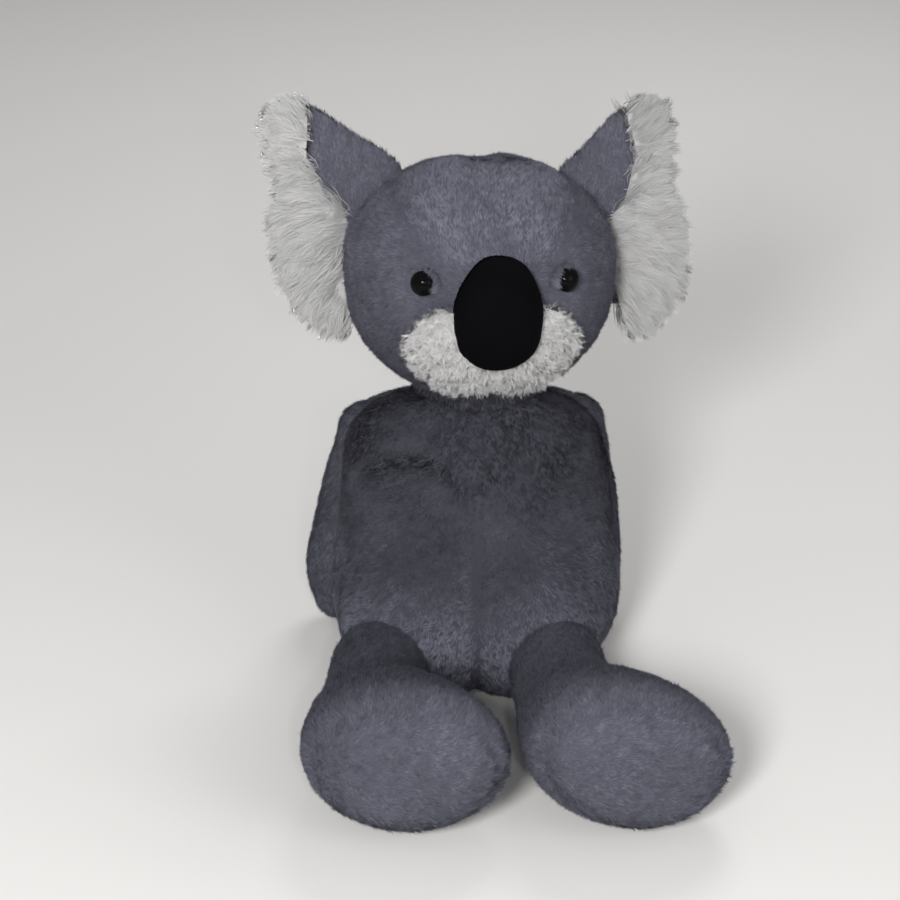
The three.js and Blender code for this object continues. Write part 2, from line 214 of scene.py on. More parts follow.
def stuffedForm(form, inset, rings, sides):
    # ellipses of changing width, depth and place along Z, drawn in towards both ends
    reach = -np.cos(np.pi * np.arange(rings + 1) / rings)
    along = (reach + 1) / 2
    wide, deep, aside, risen = sectionAt(form, along)
    closing = closingAt(form, reach)
    height = along * form["length"] - reach * inset
    risen = risen + height * math.tan(form.get("lean", 0))
    wide, deep = (wide - inset) * closing, (deep - inset) * closing
    return ringSkin(wide, deep, aside, risen, height, 0 * along, sides)


def limbForm(form, rootRings, rings, sides):
    # half a ball at the root, then ellipses of changing width, depth and place that close at the far end
    inset = pileInset
    quarter = np.arange(rootRings) / rootRings * np.pi / 2
    ballHeight = -(form["root"] - inset) * np.cos(quarter)
    ballWide = (form["root"] - inset) * np.sin(quarter)
    reach = np.sin(np.pi / 2 * np.arange(rings + 1) / rings)
    wide, deep, aside, risen = sectionAt(form, reach)
    closing = np.where(reach > 0.5, closingAt(form, np.maximum(2 * reach - 1, 0)), 1.0)
    zero = np.zeros(rootRings)
    wide = np.concatenate([ballWide, np.maximum(wide - inset, 0) * closing])
    deep = np.concatenate([ballWide, np.maximum(deep - inset, 0) * closing])
    aside, risen = np.concatenate([zero, aside]), np.concatenate([zero, risen])
    height = np.concatenate([ballHeight, reach * (form["length"] - inset)])
    roll = form.get("roll", 0) * np.concatenate([zero, reach])
    return ringSkin(wide, deep, aside, risen, height, roll, sides)


def insideForm(points, form, grow):
    # true where a point in the form's own frame lies in it
    along = np.clip(points[:, 2] / form["length"], 0, 1)
    wide, deep, aside, risen = sectionAt(form, along)
    closing = np.maximum(closingAt(form, 2 * along - 1), 1e-6)
    across = (points[:, 0] - aside) / ((wide + grow) * closing)
    back = points[:, 1] - risen - points[:, 2] * math.tan(form.get("lean", 0))
    through = back / ((deep + grow) * closing)
    return (across ** 2 + through ** 2 < 1) & (points[:, 2] > -grow) & (points[:, 2] < form["length"] + grow)


def bulgeAt(form, x, along):
    # how far the form's front stands out at a place across and along
    wide, deep, _, _ = sectionAt(form, along)
    closing = np.maximum(closingAt(form, 2 * along - 1), 1e-6)
    return deep * closing * np.sqrt(np.maximum(0, 1 - (x / (wide * closing)) ** 2))


def skinOf(points, quads, tris):
    halves = [quads[:, [0, 1, 2]], quads[:, [0, 2, 3]]] if len(quads) else []
    skin = {"points": points, "quads": quads, "tris": tris, "allTris": np.concatenate([*halves, tris])}
    return withNormals(skin)


def withNormals(skin):
    points, tris = skin["points"], skin["allTris"]
    a, b, c = points[tris[:, 0]], points[tris[:, 1]], points[tris[:, 2]]
    facing = np.cross(b - a, c - a)
    normals = np.zeros_like(points)
    for k in range(3):
        np.add.at(normals, tris[:, k], facing)
    skin["normals"] = unit(normals)
    return skin


def moved(skin, place):
    return withNormals({**skin, "points": toWorld(skin["points"], place)})


def pressed(skin, amount):
    # each point goes in along its own normal by its own amount
    return withNormals({**skin, "points": skin["points"] - skin["normals"] * amount[:, None]})


def inScene(name, data):
    thing = bpy.data.objects.new(name, data)
    bpy.context.scene.collection.objects.link(thing)
    return thing


def meshPiece(name, skin, material):
    mesh = bpy.data.meshes.new(name)
    faces = skin["quads"].tolist() + skin["tris"].tolist()
    mesh.from_pydata(skin["points"].tolist(), [], faces)
    mesh.polygons.foreach_set("use_smooth", [True] * len(mesh.polygons))
    mesh.materials.append(material)
    mesh.update()
    return inScene(name, mesh)


# Pile: blades of cloth fibre that grow out of a surface in small clumps

def scatter(skin, perArea, rng, keep):
    # roots spread evenly over the skin's area, apart from those where nothing shows
    tris = skin["allTris"]
    a, b, c = (skin["points"][tris[:, k]] for k in range(3))
    area = np.linalg.norm(np.cross(b - a, c - a), axis=1) / 2
    count = int(area.sum() * perArea)
    pick = np.searchsorted(np.cumsum(area) / area.sum(), rng.random(count))
    pick = np.minimum(pick, len(tris) - 1)
    u, v = rng.random(count), rng.random(count)
    over = u + v > 1
    u, v = np.where(over, 1 - u, u)[:, None], np.where(over, 1 - v, v)[:, None]
    spots = a[pick] * (1 - u - v) + b[pick] * u + c[pick] * v
    corner = skin["normals"][tris[pick]]
    facing = unit(corner[:, 0] * (1 - u - v) + corner[:, 1] * u + corner[:, 2] * v)
    kept = keep(spots, facing)
    return spots[kept], facing[kept]


plainPile = {
    "seed": 1, "taper": 0.6, "twist": 0.9, "uneven": 0.35, "stray": 0.08, "sink": 0.0003, "sag": 0.0,
    "wander": 0.0, "tuftTone": 0.0, "tuftSize": 0.005, "napShade": 0.0,
}


def growPile(spots, facing, nap, pile, rng, scale, toneAndShadeShift):
    # a blade runs on a curve from its root, rising first and then leaning along the nap,
    # with its clump's tips drawn together
    pile = {**plainPile, **pile}
    clumps, each, seed = len(spots), pile["perClump"], pile["seed"]
    blades = clumps * each
    if "axis" in pile:  # long hair keeps its own way past the rim of its panel
        lie = unit(nap)
        side = unit(np.cross(pile["axis"], lie))
    else:
        lie = unit(nap - (nap * facing).sum(axis=1, keepdims=True) * facing)
        side = np.cross(facing, lie)
    sway = rng.normal(0, pile["sway"], clumps)
    sway += pile["wander"] * ripple(spots, seed + 3, pile["tuftSize"])
    sway = sway[:, None]
    lie, side = lie * np.cos(sway) + side * np.sin(sway), side * np.cos(sway) - lie * np.sin(sway)
    tilt = np.clip(rng.normal(pile["lean"], pile["leanSpread"], clumps), 0.05, 1.45)[:, None]
    length = (pile["length"] * scale * rng.uniform(1 - pile["uneven"], 1, clumps))[:, None]
    shade = facing
    if "axis" in pile:  # hair that grows round the rim is lit from its side instead of from behind
        behind = np.maximum(facing @ pile["axis"], 0)[:, None]
        shade = unit(facing - 0.85 * behind * pile["axis"] + 0.5 * behind * lie)

    def perBlade(values):
        return np.repeat(values, each, axis=0)

    offset = rng.normal(0, pile["clumpRadius"], (blades, 2))
    off = perBlade(side) * offset[:, :1] + perBlade(lie) * offset[:, 1:]
    blade = perBlade(length) * rng.uniform(1 - pile["uneven"], 1, (blades, 1))
    up, flat = perBlade(facing), perBlade(lie)
    root = perBlade(spots) + off - up * pile["sink"]
    bent = perBlade(tilt)
    tipSide = perBlade(side) * rng.normal(0, pile["stray"], (blades, 1)) * blade
    tip = root + blade * (up * np.cos(bent) + flat * np.sin(bent)) - off * pile["gather"] + tipSide
    early = bent * pile["rise"]
    control = root + 0.55 * blade * (up * np.cos(early) + flat * np.sin(early))
    tip[:, 2] -= pile["sag"] * blade[:, 0]
    run = unit(tip - root)
    wide = unit(np.cross(run, up))
    twist = rng.uniform(-pile["twist"], pile["twist"], (blades, 1))
    wide = wide * np.cos(twist) + np.cross(run, wide) * np.sin(twist)
    steps = pile["segments"]
    rows = []
    for k in range(steps):
        t = k / steps
        spine = root * (1 - t) ** 2 + control * 2 * t * (1 - t) + tip * t ** 2
        half = pile["width"] / 2 * (1 - t) ** pile["taper"]
        rows += [spine - wide * half, spine + wide * half]
    points = np.stack([*rows, tip], axis=1)
    points[..., 2] = np.maximum(points[..., 2], lowestBlade)
    across = unit(np.cross(wide, run))
    lit = perBlade(shade)
    across = across * np.sign((across * lit).sum(axis=1, keepdims=True) + 1e-9)
    facingOut = unit(lit * pile["softness"] + across * (1 - pile["softness"]) - flat * pile["napShade"])
    tone = perBlade(rng.normal(0, pile["clumpTone"], clumps)) + rng.normal(0, pile["bladeTone"], blades)
    patch = ripple(spots, seed, pile["patchSize"]) * pile["patchTone"]
    patch += ripple(spots, seed + 6, pile["tuftSize"]) * pile["tuftTone"]
    # the unevenness is a share of the brightness, so that dark places aren't rougher than light ones
    share = perBlade(1 + 1.4 * np.minimum(toneAndShadeShift, 0))
    tone = np.clip(0.5 + 0.74 * (share * (tone + perBlade(patch)) + perBlade(toneAndShadeShift)), 0.02, 0.98)
    return {"points": points, "facing": facingOut, "tone": tone, "steps": steps}


def pilePiece(name, blades, material):
    count, each = blades["points"].shape[:2]
    steps = blades["steps"]
    # quads up the blade and a triangle at its tip
    corners = [2 * k + c for k in range(steps - 1) for c in (0, 1, 3, 2)]
    corners = np.array(corners + [2 * steps - 2, 2 * steps - 1, 2 * steps])
    starts = 4 * np.arange(steps)
    mesh = bpy.data.meshes.new(name)
    mesh.vertices.add(count * each)
    mesh.vertices.foreach_set("co", blades["points"].astype(np.float32).ravel())
    mesh.loops.add(count * len(corners))
    blade = np.arange(count)[:, None]
    mesh.loops.foreach_set("vertex_index", (blade * each + corners).ravel().astype(np.int32))
    mesh.polygons.add(count * steps)
    mesh.polygons.foreach_set("loop_start", (blade * len(corners) + starts).ravel().astype(np.int32))
    mesh.update(calc_edges=True)
    mesh.polygons.foreach_set("use_smooth", np.ones(count * steps, bool))
    # across the map runs the blade's tone, and up it the way from root to tip
    across = np.repeat(blades["tone"], len(corners))
    up = np.tile(np.minimum(corners // 2, steps) / steps * 0.96 + 0.02, count)
    layer = mesh.uv_layers.new(name="OFBake")
    layer.data.foreach_set("uv", columns(across, up).astype(np.float32).ravel())
    mesh.normals_split_custom_set_from_vertices(np.repeat(blades["facing"], each, axis=0).astype(np.float32))
    mesh.materials.append(material)
    print(name, count, "blades,", count * (2 * steps - 1), "triangles")
    return inScene(name, mesh)


# Materials

def feed(tree, node, inputs):
    # each input gets a value or another node's output
    for label, value in inputs.items():
        if isinstance(value, bpy.types.NodeSocket):
            tree.links.new(value, node.inputs[label])
        else:
            node.inputs[label].default_value = value
    return node


def added(tree, kind, inputs):
    return feed(tree, tree.nodes.new("ShaderNode" + kind), inputs)


def reckoned(tree, operation, inputs, kind="Math"):
    node = tree.nodes.new("ShaderNode" + kind)
    node.operation = operation
    return feed(tree, node, inputs).outputs[0]


def mixed(tree, share, low, high):
    mix = tree.nodes.new("ShaderNodeMix")
    mix.data_type = "RGBA"
    return feed(tree, mix, {0: share, 6: low, 7: high}).outputs[2]


def newMaterial(name, roughness, slotColour, specular):
    material = bpy.data.materials.new(name)
    material.use_nodes = True
    material.diffuse_color = (*slotColour, 1)
    tree = material.node_tree
    shader = tree.nodes["Principled BSDF"]
    feed(tree, shader, {"Roughness": roughness, "Base Color": (*slotColour, 1),
                        "Specular IOR Level": specular})
    return material, tree, shader


def groupWith(name, inputs, outputs):
    # each input and output is given with its usual value, a colour or a number
    group = bpy.data.node_groups.new(name, "ShaderNodeTree")
    for way, sockets in (("INPUT", inputs), ("OUTPUT", outputs)):
        for label, value in sockets.items():
            kind = "NodeSocketColor" if isinstance(value, tuple) else "NodeSocketFloat"
            group.interface.new_socket(name=label, in_out=way, socket_type=kind).default_value = value
    return group, group.nodes.new("NodeGroupInput"), group.nodes.new("NodeGroupOutput")


black, white = (0, 0, 0, 1), (1, 1, 1, 1)


def makePileGroup():
    # a blade's colour from its tone and from how far along it the point is; the root is darker than the tip,
    # painted shade deep in the pile
    group, entry, result = groupWith("pileColour", {"Root": black, "Tip": white, "Spread": 0.5},
                                     {"Color": white, "Roughness": 0.9})
    uv = added(group, "UVMap", {})
    uv.uv_map = "OFBake"
    parts = added(group, "SeparateXYZ", {0: uv.outputs[0]})
    climb = added(group, "MapRange", {"From Max": 0.85, "Value": parts.outputs["Y"]})
    climb.interpolation_type = "SMOOTHSTEP"
    mix = mixed(group, climb.outputs[0], entry.outputs["Root"], entry.outputs["Tip"])
    # the tone makes it darker below the middle and lighter above: 1 + (tone - 0.5) * spread
    centre = reckoned(group, "SUBTRACT", {0: parts.outputs["X"], 1: 0.5})
    strength = reckoned(group, "MULTIPLY", {0: centre, 1: entry.outputs["Spread"]})
    bright = reckoned(group, "ADD", {0: strength, 1: 1})
    colour = reckoned(group, "SCALE", {0: mix, "Scale": bright}, "VectorMath")
    rough = added(group, "MapRange", {"To Min": 0.95, "To Max": 0.7, "Value": parts.outputs["X"]})
    feed(group, result, {"Color": colour, "Roughness": rough.outputs[0]})
    return group


def makeClothGroup():
    # the cloth that the pile grows from: a fine knit grain under a soft mottling
    group, entry, result = groupWith("clothGrain", {"Dark": black, "Light": white, "Scale": 900.0},
                                     {"Color": white, "Height": 0.0})
    where = added(group, "TexCoord", {}).outputs["Object"]
    size = entry.outputs["Scale"]
    grain = added(group, "TexNoise", {"Detail": 4, "Vector": where, "Scale": size}).outputs[0]
    patches = added(group, "TexNoise", {"Scale": 60, "Vector": where}).outputs[0]
    part = reckoned(group, "MULTIPLY", {0: patches, 1: 0.4})
    both = reckoned(group, "MULTIPLY_ADD", {0: grain, 1: 0.6, 2: part})
    mix = mixed(group, both, entry.outputs["Dark"], entry.outputs["Light"])
    feed(group, result, {"Color": mix, "Height": grain})
    return group


pileGroup = makePileGroup()
clothGroup = makeClothGroup()


def pileMaterial(name, root, tip, spread, specular):
    material, tree, shader = newMaterial(name, 0.85, tip, specular)
    colour = tree.nodes.new("ShaderNodeGroup")
    colour.node_tree = pileGroup
    feed(tree, colour, {"Root": (*root, 1), "Tip": (*tip, 1), "Spread": spread})
    # a blade is lit as the surface it grows from is, whichever of its two sides is seen
    seen = added(tree, "NewGeometry", {})
    sense = reckoned(tree, "MULTIPLY_ADD", {0: seen.outputs["Backfacing"], 1: -2, 2: 1})
    upright = reckoned(tree, "SCALE", {0: seen.outputs["Normal"], "Scale": sense}, "VectorMath")
    feed(tree, shader, {"Base Color": colour.outputs["Color"], "Roughness": colour.outputs["Roughness"],
                        "Normal": upright})
    return material


def clothMaterial(name, dark, light, scale, roughness=0.9, bumpStrength=0.3, specular=0.3):
    material, tree, shader = newMaterial(name, roughness, light, specular)
    grain = tree.nodes.new("ShaderNodeGroup")
    grain.node_tree = clothGroup
    feed(tree, grain, {"Dark": (*dark, 1), "Light": (*light, 1), "Scale": scale})
    raised = added(tree, "Bump", {"Strength": bumpStrength, "Distance": 0.0004,
                                  "Height": grain.outputs["Height"]})
    feed(tree, shader, {"Base Color": grain.outputs["Color"], "Normal": raised.outputs[0]})
    return material


# each pile's root colour is darker than its tip: painted shade deep down in the pile
greyPile = pileMaterial("greyPile", (0.075, 0.075, 0.099), (0.131, 0.131, 0.164), 1.9, 0.03)
greyCloth = clothMaterial("greyCloth", (0.042, 0.042, 0.056), (0.07, 0.07, 0.093), 900)
# the backing cloth under the torso, neck and arm pile, painted darker to follow their painted shade and the
# shade between the blades
paintedShadeCloth = clothMaterial("paintedShadeCloth", (0.022, 0.022, 0.03), (0.04, 0.04, 0.053), 900)
whitePile = pileMaterial("whitePile", (0.36, 0.355, 0.35), (0.54, 0.535, 0.53), 0.61, 0.15)
whiteCloth = clothMaterial("whiteCloth", (0.3, 0.295, 0.29), (0.42, 0.415, 0.41), 900)
blackPile = pileMaterial("blackPile", (0.0015, 0.0015, 0.002), (0.004, 0.004, 0.0055), 1.2, 0.03)
blackCloth = clothMaterial("blackSuede", (0.001, 0.001, 0.0012), (0.003, 0.003, 0.004), 1500, 0.95, 0.4, 0.03)
fibreFill = clothMaterial("fibreFill", (0.55, 0.54, 0.5), (0.85, 0.84, 0.8), 350, 1.0, 0.8)
pouchCloth = clothMaterial("pouchCloth", (0.5, 0.47, 0.4), (0.72, 0.69, 0.6), 1300)
washerNylon = clothMaterial("washerNylon", (0.8, 0.8, 0.76), (0.9, 0.9, 0.87), 200, 0.4, 0.05)
threadTwist = clothMaterial("threadTwist", (0.05, 0.05, 0.06), (0.1, 0.1, 0.12), 2500, 0.8, 0.8)
eyeGloss, tree, shader = newMaterial("eyeGloss", 0.06, (0.003, 0.003, 0.003), 0.04)
where = added(tree, "TexCoord", {}).outputs["Object"]
smear = added(tree, "TexNoise", {"Scale": 300, "Vector": where}).outputs[0]
span = added(tree, "MapRange", {"To Min": 0.03, "To Max": 0.1, "Value": smear})
feed(tree, shader, {"Roughness": span.outputs[0]})

limbs = ["right_arm", "left_arm", "right_leg", "left_leg"]
hidden = [
    (fibreFill, [part + "_stuffing" for part in ["torso", "neck", "head", "nose", *limbs]]),
    (pouchCloth, ["pellet_pouch"]),
    (washerNylon, ["right_eye_washer", "left_eye_washer"]),
    (threadTwist, ["neck_thread"]),
]
for material, names in hidden:
    for name in names:
        materials = frame["nodes"][name].data.materials
        materials.clear()
        materials.append(material)
print("materials made")


# Torso

torsoLook = {
    "length": 0.106, "halfWidth": 0.059, "halfDepth": 0.048, "lean": lean,
    "widthShares": [0.98, 1, 0.97, 0.93, 0.91, 0.95],
    "depthShares": [0.93, 1, 0.98, 0.88, 0.76, 0.68],
    "riseShares": [0, 0, 0, -0.01, -0.06, -0.12],
    "roundStart": 5, "roundEnd": 3.2,
    # joint, height beyond it, reach, power, lift and way in from the side
    "mounds": [("hip", 0.002, 0.027, 3, 0.008, 0.003), ("shoulder", 0.006, 0.0175, 2.4, 0.0, 0.0)],
}
greyPileLook = {
    "perArea": 1.9e6, "perClump": 4, "length": 0.0036, "width": 0.00022, "segments": 1, "sway": 0.28,
    "lean": 1.16, "leanSpread": 0.14, "clumpRadius": 0.0004, "gather": 0.35, "rise": 0.4, "softness": 0.75,
    "clumpTone": 0.1, "bladeTone": 0.1, "patchTone": 0.1, "patchSize": 0.03, "napShade": 0.12,
    "wander": 0.7, "tuftTone": 0.12, "tuftSize": 0.0055,
}

headLook = {
    "length": 0.096, "halfWidth": 0.0535, "halfDepth": 0.047,
    "widthShares": [0.98, 1, 1, 0.98], "depthShares": [0.97, 1, 1, 0.96],
    "roundStart": 2.3, "roundEnd": 2.3,
}


def inHead(points, grow):
    return insideForm(toLocal(points, headPlace) + [0, 0, headLook["length"] / 2], headLook, grow)


def inTorso(points, grow):
    return insideForm(toLocal(points, torsoPlace), torsoLook, grow)


def onTorso(*places):
    # the points of the torso's front at places across and up
    x, z = np.array(places).T
    along = z / torsoLook["length"]
    risen = sectionAt(torsoLook, along)[3]
    return columns(x, risen + z * math.tan(lean) - bulgeAt(torsoLook, x, along), z)


gatherHeight, seamTop = 0.08, 0.078  # where the folds of the chest meet the centre seam
chestFold = onTorso((-0.004, 0.078), (-0.0146, 0.087), (-0.027, 0.0885), (-0.0367, 0.084),
                    (-0.045, 0.078), (-0.051, 0.067))
sideFold = onTorso((-0.001, 0.076), (0.018, 0.083), (0.038, 0.087))


def makeTorso():
    skin = stuffedForm(torsoLook, pileInset, rings=130, sides=180)
    local = skin["points"]
    x, y, z = local.T
    front = ramp(z * math.tan(lean) - y, 0.01)
    # the centre seam draws in from the gather on the chest down to the seat, and runs on up the back
    belly = bump(x, 0.0018) * ramp(gatherHeight - z, 0.01) * front
    spine = bump(x, 0.0018) * (1 - front)
    valley = bump(x, 0.009) * ramp(gatherHeight - z, 0.03) * front
    fold, along = nearLine(local, chestFold)
    second, alongSecond = nearLine(local, sideFold)
    above, _ = nearLine(local, chestFold + [0, 0, 0.007])
    amount = 0.0012 * belly + 0.0011 * spine + 0.0006 * valley
    amount += 0.0013 * bump(fold, 0.004) * (1 - 0.6 * along) * front
    amount += 0.0008 * bump(second, 0.004) * (1 - 0.7 * alongSecond) * front
    amount -= 0.0022 * bump(above, 0.006) * front
    amount += 0.0004 * ripple(local, 4, 0.03) + 0.0002 * ripple(local, 9, 0.009)
    # the chest swells up under the chin, in front of the neck
    chest, _ = nearLine(local, [[-0.022, 0.006, 0.1], [0, 0.0, 0.102], [0.022, 0.006, 0.1]])
    amount = np.minimum(amount, deepestPress) - 0.0045 * bump(chest, 0.011)
    # and the cloth is drawn out round the root of each limb: beyond * exp(-(distance / reach)^power)
    for joint, beyond, reach, power, lift, inwards in torsoLook["mounds"]:
        for side, sign in sides.items():
            root = toLocal(anchorOf(side + "_" + joint), torsoPlace)
            far = farFrom(local, root)
            middle = local[far.argmin()] + [-sign * inwards, 0, lift]
            amount -= (far.min() + beyond) * np.exp(-(farFrom(local, middle) / reach) ** power)
    skin = pressed(skin, amount)
    skin["points"][:, 2] = np.maximum(skin["points"][:, 2], lowestCloth)
    return moved(skin, torsoPlace)


torsoSkin = makeTorso()
torsoCloth = meshPiece("torsoCloth", torsoSkin, paintedShadeCloth)


def torsoNap(local):
    # the nap falls from the chest, spreads from the centre seam and wanders in patches
    x, y, z = local.T
    aside = np.clip(x / 0.04, -1, 1) * 0.5 + 0.5 * ripple(local, 21, 0.045)
    aside += 0.9 * np.sign(x) * bump(x, 0.004) * (z < seamTop)
    return columns(aside, 0.4 * ripple(local, 22, 0.045), -0.8 + 0.5 * ripple(local, 23, 0.05))


def torsoToneAndShade(local):
    # painted light low on the belly; painted shade under the chin, over the chest, on the sides and along the
    # seams
    x, y, z = local.T
    front = y < z * math.tan(lean)
    tone = 0.18 * np.exp(-((z - 0.022) / 0.024) ** 2 - (x / 0.042) ** 2) * front - 0.12
    # painted shadow of the head over the chest and upper belly
    tone -= (0.25 * ramp(z - 0.03, 0.03) + 0.15 * ramp(z - 0.065, 0.02)) * front
    # painted shade on the sides
    tone -= 0.05 * ramp(np.abs(x) - 0.032, 0.02)
    # painted shade in the centre seam, with a lighter line just beside it low down
    tone -= 0.22 * bump(x, 0.0015) * front * (z < seamTop)
    tone += 0.08 * bump(x + 0.004, 0.003) * front * (z < 0.06)
    # painted shadow under the chest fold and painted light on its ridge above
    fold, along = nearLine(local, chestFold)
    above, _ = nearLine(local, chestFold + [0, 0, 0.006])
    tone += 0.14 * bump(above, 0.004) - 0.25 * bump(fold, 0.0035) * (1 - 0.6 * along)
    return tone + 0.08 * ripple(local, 24, 0.02)


def torsoScale(local):
    # shorter pile at the centre seam
    return 1 - 0.35 * bump(local[:, 0], 0.0022) * (local[:, 2] < seamTop)


def torsoShown(spots, facing):
    return ~inHead(spots, 0.001) & (facing[:, 2] > underside)


def growOn(name, skin, nap, seed, keep, place=worldPlace, scaleOf=evenly(1.0), toneAndShadeOf=evenly(0.0), parts=1,
           look=greyPileLook, material=greyPile):
    # the pile of one skin, in as many pieces side by side as keep each one light;
    # nap, scale and tone are worked out in the given place
    rng = np.random.default_rng(seed)
    spots, facing = scatter(skin, look["perArea"], rng, keep)
    order = np.argsort(spots[:, 0], kind="stable")
    pieces = []
    for k, some in enumerate(np.array_split(order, parts)):
        local = toLocal(spots[some], place)
        ways = nap(local) @ place["turn"].T
        # the tone carries each part's painted light and shade as well as its own unevenness
        blades = growPile(spots[some], facing[some], ways, {**look, "seed": seed}, rng,
                          scaleOf(local), toneAndShadeOf(local))
        pieces.append(pilePiece(name + (str(k + 1) if parts > 1 else ""), blades, material))
    return pieces


torsoPile = growOn("torsoPile", torsoSkin, torsoNap, 11, torsoShown, torsoPlace, torsoScale, torsoToneAndShade,
                   parts=2)
print("torso made")


# Head

muzzleLook = {
    "halfWidth": 0.033, "below": 0.047, "lobeAside": 0.02, "lobeBelow": 0.006, "dip": 0.006,
    "chinShare": 0.75, "cheekShare": 0.4, "pad": 0.0035,
}
noseLook = {"halfWidth": 0.0165, "halfHeight": 0.022, "depth": 0.012, "below": 0.0065}
eyeLook = {"radius": 0.0048, "dome": 0.004, "aside": 0.0275, "above": 0.0045, "sunk": 0.0012,
           "squint": math.radians(28), "shankRadius": 0.002, "shankLength": 0.012}
bareRound = {"aside": 0.0288, "above": 0.0033, "radius": 0.0039}  # no pile grows here, behind each eye
templePlaces = np.array([(0.036, 0.039), (0.034, 0.034), (0.031, 0.026), (0.0265, 0.019), (0.022, 0.0115)])


def faceDepth(x, z):
    # the y of the head's front at a place across and up, in the head's own frame
    return -bulgeAt(headLook, x, np.clip(z / headLook["length"] + 0.5, 0, 1))


def closedCurve(corners, count):
    # a smooth closed curve through the corners
    corners = np.asarray(corners, float)
    spot = np.arange(count) / count * len(corners)
    low = np.floor(spot).astype(int)
    return cubicAt(*(corners[(low + k) % len(corners)] for k in (-1, 0, 1, 2)), (spot - low)[:, None])


def insideCurve(x, z, curve):
    # true inside a closed curve: a line to the right crosses it an odd number of times
    inside = np.zeros(len(x), bool)
    for (ax, az), (bx, bz) in zip(curve, np.roll(curve, -1, axis=0)):
        cuts = (az > z) != (bz > z)
        with np.errstate(divide="ignore", invalid="ignore"):
            inside ^= cuts & (x < (bx - ax) * (z - az) / (bz - az) + ax)
    return inside


m = muzzleLook
muzzleSide = [(m["halfWidth"] * m["chinShare"], -m["below"] * m["chinShare"]),
              (m["halfWidth"], -m["below"] * m["cheekShare"]), (m["lobeAside"], -m["lobeBelow"])]
muzzleCurve = closedCurve([(0, -m["below"]), *muzzleSide, (0, -m["lobeBelow"] - m["dip"]),
                           *((-x, z) for x, z in muzzleSide[::-1])], 120)
noseCurve = closedCurve([
    (0.002, 1.0), (0.6, 0.83), (0.98, 0.28), (1.02, -0.25), (0.86, -0.72), (0.36, -1.0), (-0.28, -1.01),
    (-0.8, -0.74), (-1.02, -0.22), (-0.93, 0.35), (-0.5, 0.86),
], 120) * [noseLook["halfWidth"], noseLook["halfHeight"]] - [0, noseLook["below"]]

noseMiddle = noseCurve.mean(axis=0)
headBottom = {"turn": headPlace["turn"],
              "at": headPlace["at"] - headPlace["turn"] @ [0, 0, headLook["length"] / 2]}


def templeSeam(sign):
    # the seam from an ear's root to the inner corner of the eye
    x, z = templePlaces.T
    return columns(sign * x, faceDepth(x, z), z)


def makeHead():
    skin = stuffedForm(headLook, pileInset, rings=130, sides=180)
    centre = skin["points"] - [0, 0, headLook["length"] / 2]
    x, y, z = centre.T
    # the centre seam over the crown and down the back
    amount = 0.002 * bump(x, 0.006) * ramp(z - 0.02, 0.02)
    amount += 0.0014 * bump(x, 0.0022) * (y > 0)
    for sign in (-1, 1):
        far, _ = nearLine(centre, templeSeam(sign))
        amount += 0.0008 * bump(far, 0.0016) + 0.0009 * bump(far, 0.005)
        aside, above = eyeLook["aside"], eyeLook["above"]
        ends = [[sign * aside, faceDepth(aside, z), z] for z in (above, above - 0.0005)]
        socket, _ = nearLine(centre, ends)
        amount += 0.0016 * bump(socket, 0.008)
    amount += 0.0004 * ripple(centre, 5, 0.03) + 0.0002 * ripple(centre, 10, 0.009)
    amount = np.minimum(amount, deepestPress)
    for side in sides:
        amount -= 0.003 * bump(farFrom(centre, toLocal(anchorOf(side + "_ear_flex")[None], headPlace)), 0.014)
    return moved(pressed(skin, amount), headBottom)


headSkin = makeHead()
headCloth = meshPiece("headCloth", headSkin, greyCloth)


def inForehead(local):
    # the middle panel of the face, between the two temple seams
    seam = np.interp(local[:, 2], templePlaces[::-1, 1], templePlaces[::-1, 0])
    return (local[:, 1] < 0) & (local[:, 2] > 0.011) & (np.abs(local[:, 0]) < seam)


def headNap(local):
    # upwards on the forehead, outwards and back on the cheeks, down on the back
    away = unit(local - [0, -0.048, -0.004])
    cheek = away + [0, 0, -0.25]
    cheek[:, 2] -= 0.8 * ramp(local[:, 1] - 0.005, 0.03)
    brow = columns(local[:, 0] / 0.05, 0, 1)
    return np.where(inForehead(local)[:, None], brow, cheek) + 0.25 * stirred(local, 31, 0.04)


def headToneAndShade(local):
    # painted light on the forehead panel, painted shade on the cheeks, darker low down, and painted shade
    # along the temple seams
    low = ramp(0.012 - local[:, 2], 0.03)
    tone = np.where(inForehead(local), 0.14, -0.15 - 0.2 * low) + 0.07 * ripple(local, 34, 0.018)
    for sign in (-1, 1):
        far, _ = nearLine(local, templeSeam(sign))
        tone -= 0.34 * bump(far, 0.0028)
    return tone


def headScale(local):
    far = np.minimum(nearLine(local, templeSeam(-1))[0], nearLine(local, templeSeam(1))[0])
    return 1 - 0.5 * bump(far, 0.0035)


def inNose(local, share):
    # true inside the nose's outline when that is shrunk to a share of its size
    return insideCurve(local[:, 0], local[:, 2], noseMiddle + (noseCurve - noseMiddle) * share)


def headShown(spots, facing):
    local = toLocal(spots, headPlace)
    front = local[:, 1] < 0
    x, z = local[:, 0], local[:, 2]
    muzzle = insideCurve(x, z, muzzleCurve * 0.98)
    eyes = np.hypot(np.abs(x) - bareRound["aside"], z - bareRound["above"]) < bareRound["radius"]
    return ~(front & (inNose(local, 0.95) | muzzle | eyes) | inTorso(spots, 0.0))


headPile = growOn("headPile", headSkin, headNap, 12, headShown, headPlace, headScale, headToneAndShade, parts=2)
print("head made")


# Neck: the cover between torso and head, a ball about the joint

